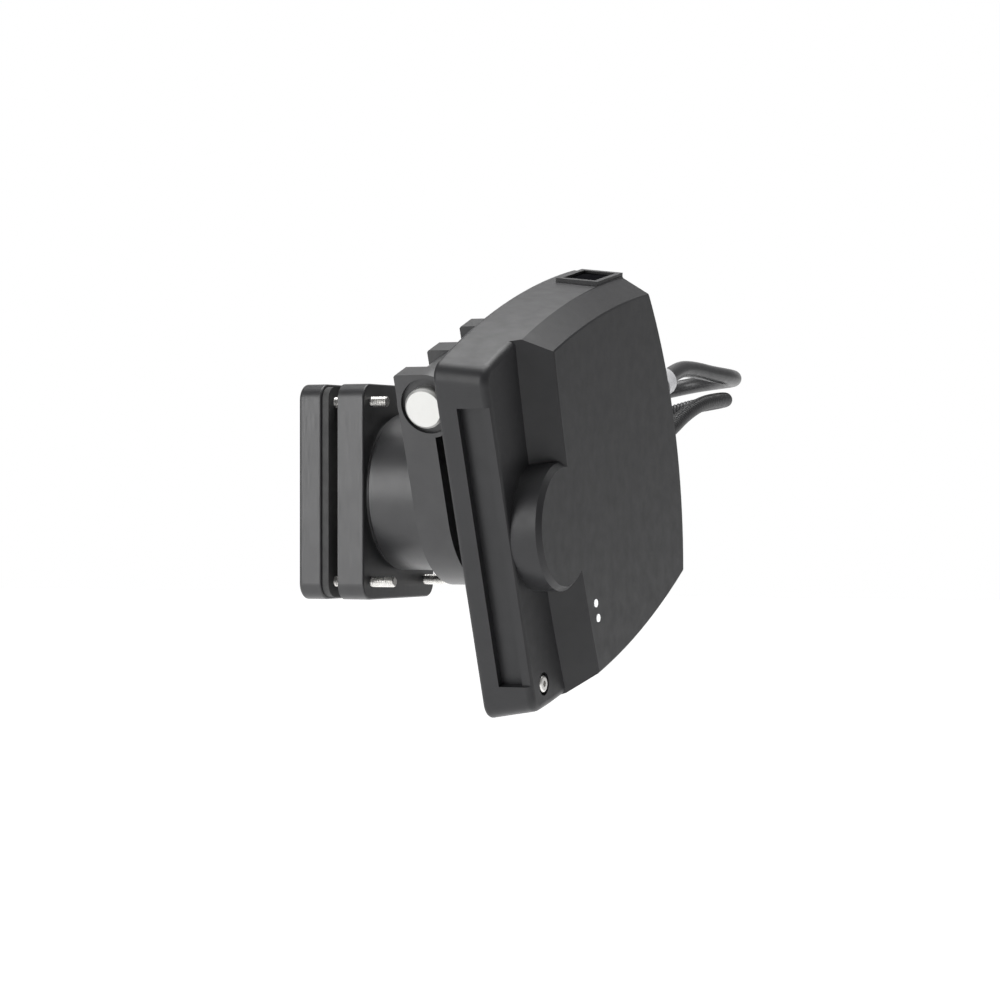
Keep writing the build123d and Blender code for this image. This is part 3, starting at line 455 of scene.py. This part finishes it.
MATERIALS = {
    "plate": machined_black("plate_black", (1, 1, 60), 0),
    "neck": machined_black("neck_black", (0.6, 40, 40), 0),
    "hinge": machined_black("hinge_black", (1, 1, 60), ROLL),
    "shell": coated_black("shell_black"),
    "stainless": turned_steel("stainless", (0.62, 0.61, 0.59), 0.30, 0.4 * MM),
    "dark_steel": turned_steel("dark_steel", (0.06, 0.06, 0.065), 0.42, 0.4 * MM),
    "nickel": turned_steel("nickel", (0.66, 0.65, 0.62), 0.26, 0.5 * MM),
    "pin": pin_steel(),
    "rubber": plain("black_rubber", (0.016, 0.016, 0.016), 0.72, height=0.03 * MM),
    "plastic": plain("black_plastic", (0.020, 0.020, 0.021), 0.48),
    "bearing": plain("bearing_plastic", (0.50, 0.48, 0.42), 0.5),
    "board": plain("circuit_board", (0.03, 0.16, 0.07), 0.35, 1.2 * MM, (0.05, 0.24, 0.10)),
    "green": plain("green_plastic", (0.05, 0.30, 0.12), 0.5),
    "sleeve": plain("capacitor_sleeve", (0.03, 0.04, 0.10), 0.25),
    "copper": plain("copper_winding", (0.45, 0.20, 0.08), 0.3, 1.5 * MM, height=0.2 * MM),
    "collar": plain("grey_collar", (0.34, 0.34, 0.35), 0.32, specular=0.6),
    "jacket": plain("cable_jacket", (0.010, 0.010, 0.011), 0.42, 1.5 * MM, coat=0.1, height=0.015 * MM),
    "conduit": plain("conduit_plastic", (0.012, 0.012, 0.013), 0.42),
    "lens": lamp_lens(),
    "window": dark_window(),
}
NODE_MATERIALS = {
    "plate": ["clamp_plate_rear", "clamp_plate_front"],
    "neck": ["neck_tube"],
    "hinge": ["hinge_plate", "hinge_pin_cap", "hinge_bracket"],
    "shell": ["rear_shell", "front_cover", "window_bezel"],
    "stainless": ["swivel_retaining_ring", "retaining_ring_screws", "hinge_bracket_screws", "corner_screw",
                  "board_screws"],
    "dark_steel": ["hinge_plate_screws", "cover_screws"],
    "nickel": ["board_standoffs"],
    "pin": ["hinge_pin"],
    "rubber": ["clamp_gasket", "cover_gasket", "rest_bumpers"],
    "plastic": ["swivel_bush", "window_sensor", "power_module", "output_relay", "head_cable_glands",
                "neck_cable_glands"],
    "bearing": ["knuckle_bushes"],
    "board": ["main_board"],
    "green": ["terminal_block"],
    "sleeve": ["board_capacitors"],
    "copper": ["ring_choke"],
    "collar": ["power_collar", "conduit_collar"],
    "lens": ["status_light_pipes", "status_leds"],
    "window": ["window_lens"],
}


def dress_nodes():
    """Give each CAD node that is still seen its material."""
    for key, names in NODE_MATERIALS.items():
        for name in names:
            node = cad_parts[name]
            node.data.materials.clear()
            node.data.materials.append(MATERIALS[key])


# ---- studio ---------------------------------------------------------------------------
FLOOR_BELOW = 0.30              # the part is held up, so the floor is well below it
FLOOR_HALF = 12.0


def add_floor():
    made = Shader("pale_floor", (0.93, 0.93, 0.93), 0.85, specular=0.2)
    made.shader.inputs["Emission Color"].default_value = (1, 1, 1, 1)
    made.shader.inputs["Emission Strength"].default_value = 0.7
    made.vary_roughness(made.noise(0.05), 0.05)
    z = cad_low.z - FLOOR_BELOW
    corners = [(x * FLOOR_HALF, y * FLOOR_HALF, z) for x, y in ((-1, -1), (1, -1), (1, 1), (-1, 1))]
    mesh_object("floor", corners, [(0, 1, 2, 3)], made.material)


def add_world():
    """White behind the part as the camera sees it, and a softer grey everywhere else."""
    world = bpy.data.worlds.new("studio")
    bpy.context.scene.world = world
    world.use_nodes = True
    nodes, links = world.node_tree.nodes, world.node_tree.links
    background = nodes["Background"]
    place = nodes.new("ShaderNodeTexCoord")
    facing = nodes.new("ShaderNodeVectorMath")
    facing.operation = "DOT_PRODUCT"
    facing.inputs[1].default_value = (-math.sin(CAMERA_AZIMUTH), math.cos(CAMERA_AZIMUTH), 0)
    shade = nodes.new("ShaderNodeMapRange")
    shade.interpolation_type = "SMOOTHSTEP"
    shade.inputs["From Min"].default_value = 0.74
    shade.inputs["From Max"].default_value = 0.94
    shade.inputs["To Min"].default_value = 0.38
    shade.inputs["To Max"].default_value = 1.0
    links.new(place.outputs["Generated"], facing.inputs[0])
    links.new(facing.outputs["Value"], shade.inputs["Value"])
    links.new(shade.outputs["Result"], background.inputs["Color"])
    background.inputs["Strength"].default_value = 1.0


def add_light(name, place, aim, size, power):
    """A soft rectangular lamp at place, turned towards aim."""
    data = bpy.data.lights.new(name, "AREA")
    data.shape = "RECTANGLE"
    data.size, data.size_y = size
    data.energy = power
    light = bpy.data.objects.new(name, data)
    light.location = place
    light.rotation_euler = (Vector(aim) - Vector(place)).to_track_quat("-Z", "Y").to_euler()
    bpy.context.scene.collection.objects.link(light)


def add_studio():
    bpy.context.scene.view_settings.view_transform = "Standard"
    add_world()
    add_floor()
    add_light("key", (-0.55, -1.25, 0.25), (0.0, 0.0, 0.0), (0.7, 0.9), 16)
    add_light("top", (0.1, 0.2, 1.3), (0.05, 0.0, 0.0), (1.2, 1.2), 28)


add_camera()
add_cable("power_cable_jacket", "power_cable", POWER_ROUTE, 0.010,
          MATERIALS["jacket"], ridged=False)
add_cable("conduit_corrugated", "conduit_cable", CONDUIT_ROUTE, 0.009,
          MATERIALS["conduit"], ridged=True)
add_boot("power_boot_ribbed", "power_boot", POWER_U, 34, 5, MATERIALS["rubber"])
add_boot("conduit_boot_ribbed", "conduit_boot", CONDUIT_U, 11, 4.5, MATERIALS["rubber"])
add_bolts(MATERIALS["stainless"])
dress_nodes()
add_studio()
